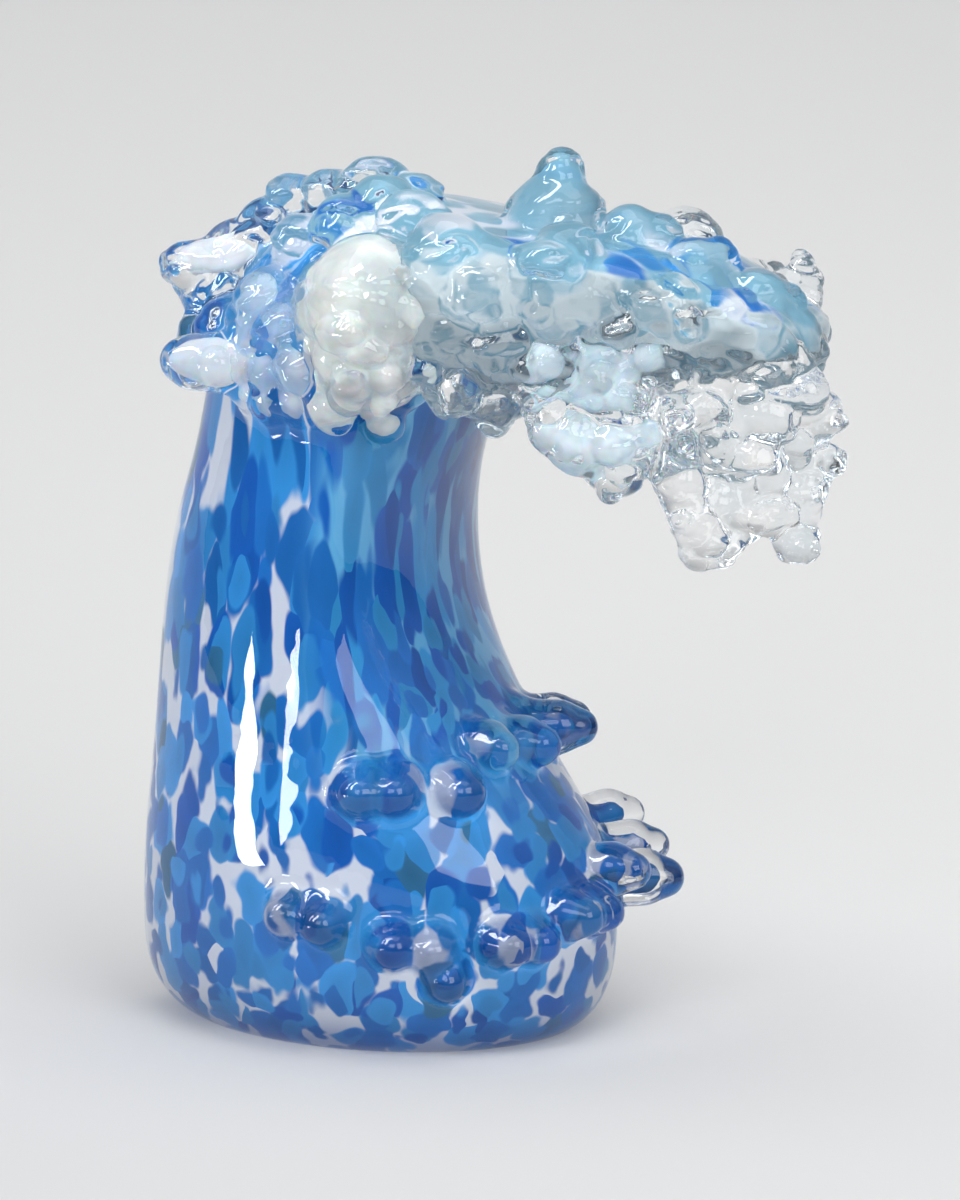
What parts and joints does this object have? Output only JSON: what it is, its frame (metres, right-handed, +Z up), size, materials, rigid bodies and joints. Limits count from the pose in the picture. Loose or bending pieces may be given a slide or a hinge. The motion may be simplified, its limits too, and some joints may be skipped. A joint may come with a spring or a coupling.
{
  "type": "glass wave sculpture",
  "caption": "Free-standing glass ornament shaped as a breaking wave: blue chips over a white core, clear casing, melted foam along the curling crest and pulled nubs on the front.",
  "frame": {"origin": "on the ground plane at the middle of the flat foot", "axes": "+X is the way the wave breaks, +Z is up, -Y is the side with the milky lump of foam"},
  "size_m": [0.2092, 0.1341, 0.2438],
  "materials": {
    "clear_glass": "polished",
    "chip_glass": "fused chips under the casing",
    "white_glass": "opaque",
    "opal_glass": "milky, polished",
    "pale_blue_glass": "polished",
    "sky_glass": "polished",
    "cobalt_glass": "polished"
  },
  "bodies": {
    "root": {"clear_casing": "clear_glass", "blue_chip_layer": "chip_glass", "white_core": "white_glass", "crest_peak_tall": "sky_glass", "crest_peak_low": "sky_glass", "crest_peak_middle": "sky_glass", "crest_peak_tip": "sky_glass", "foam_crown": "clear_glass", "left_finger_upper": "opal_glass", "left_finger_lower": "opal_glass", "foam_left": "clear_glass", "opal_lump": "opal_glass", "foam_centre": "pale_blue_glass", "foam_shoulder": "opal_glass", "foam_right_upper": "pale_blue_glass", "foam_right_middle": "clear_glass", "foam_right_lower": "pale_blue_glass", "foam_tip_upper": "clear_glass", "tip_lobe": "clear_glass", "foam_tip_lower": "clear_glass", "tip_bead": "clear_glass", "tip_drip_left": "clear_glass", "tip_drip_right": "clear_glass", "tip_bridge": "clear_glass", "far_foam_left": "opal_glass", "far_foam_centre": "pale_blue_glass", "far_foam_shoulder": "opal_glass", "far_foam_upper": "clear_glass", "far_foam_hanging": "pale_blue_glass", "upper_nub_1": "cobalt_glass", "upper_nub_2": "cobalt_glass", "upper_nub_3": "cobalt_glass", "upper_nub_4": "cobalt_glass", "upper_nub_5": "cobalt_glass", "upper_nub_6": "cobalt_glass", "upper_nub_7": "cobalt_glass", "lower_nub_1": "cobalt_glass", "lower_nub_2": "cobalt_glass", "lower_nub_3": "cobalt_glass", "lower_nub_4": "cobalt_glass", "lower_nub_5": "cobalt_glass", "lower_nub_6": "cobalt_glass", "lower_nub_7": "cobalt_glass", "lower_nub_8": "clear_glass", "lower_nub_9": "cobalt_glass", "lower_nub_10": "cobalt_glass"}
  },
  "joints": []
}
